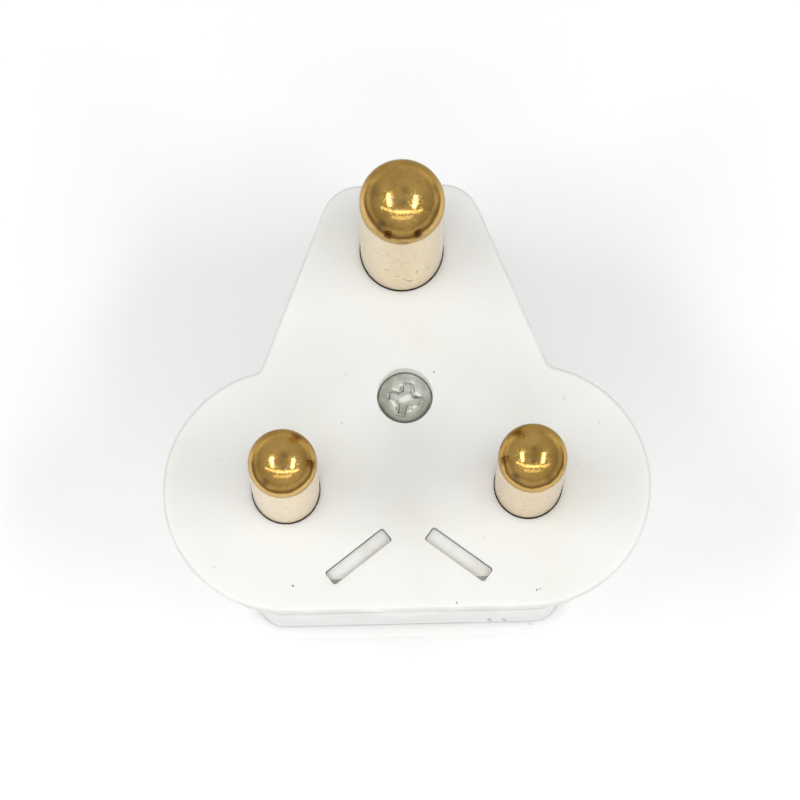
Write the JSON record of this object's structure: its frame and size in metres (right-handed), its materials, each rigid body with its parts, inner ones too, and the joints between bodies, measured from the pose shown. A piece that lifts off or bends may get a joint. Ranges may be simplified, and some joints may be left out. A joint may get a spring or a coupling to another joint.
{
  "type": "plug top",
  "caption": "Rewirable mains plug top: flat lobed face with round brass pins, recessed cover screw, drafted rear cover with a cord entry.",
  "frame": {"origin": "on the flat pin face, midway between the live and neutral pins", "axes": "+X to the live pin, +Y to the earth pin, +Z along the pins to their tips; it stands on the flat back of its rear cover"},
  "size_m": [0.0512, 0.0476, 0.0566],
  "materials": {
    "white_moulding": "semi-gloss moulded",
    "white_nylon": "satin moulded",
    "turned_brass": "turned and polished, lightly tarnished",
    "zinc_steel": "zinc plated"
  },
  "bodies": {
    "root": {"base_moulding": "white_moulding", "rear_cover": "white_moulding", "cord_grip": "white_nylon", "earth_pin": "turned_brass", "live_pin": "turned_brass", "neutral_pin": "turned_brass", "earth_terminal_screw": "zinc_steel", "live_terminal_screw": "zinc_steel", "neutral_terminal_screw": "zinc_steel", "cover_screw": "zinc_steel", "cover_nut": "turned_brass"}
  },
  "joints": []
}
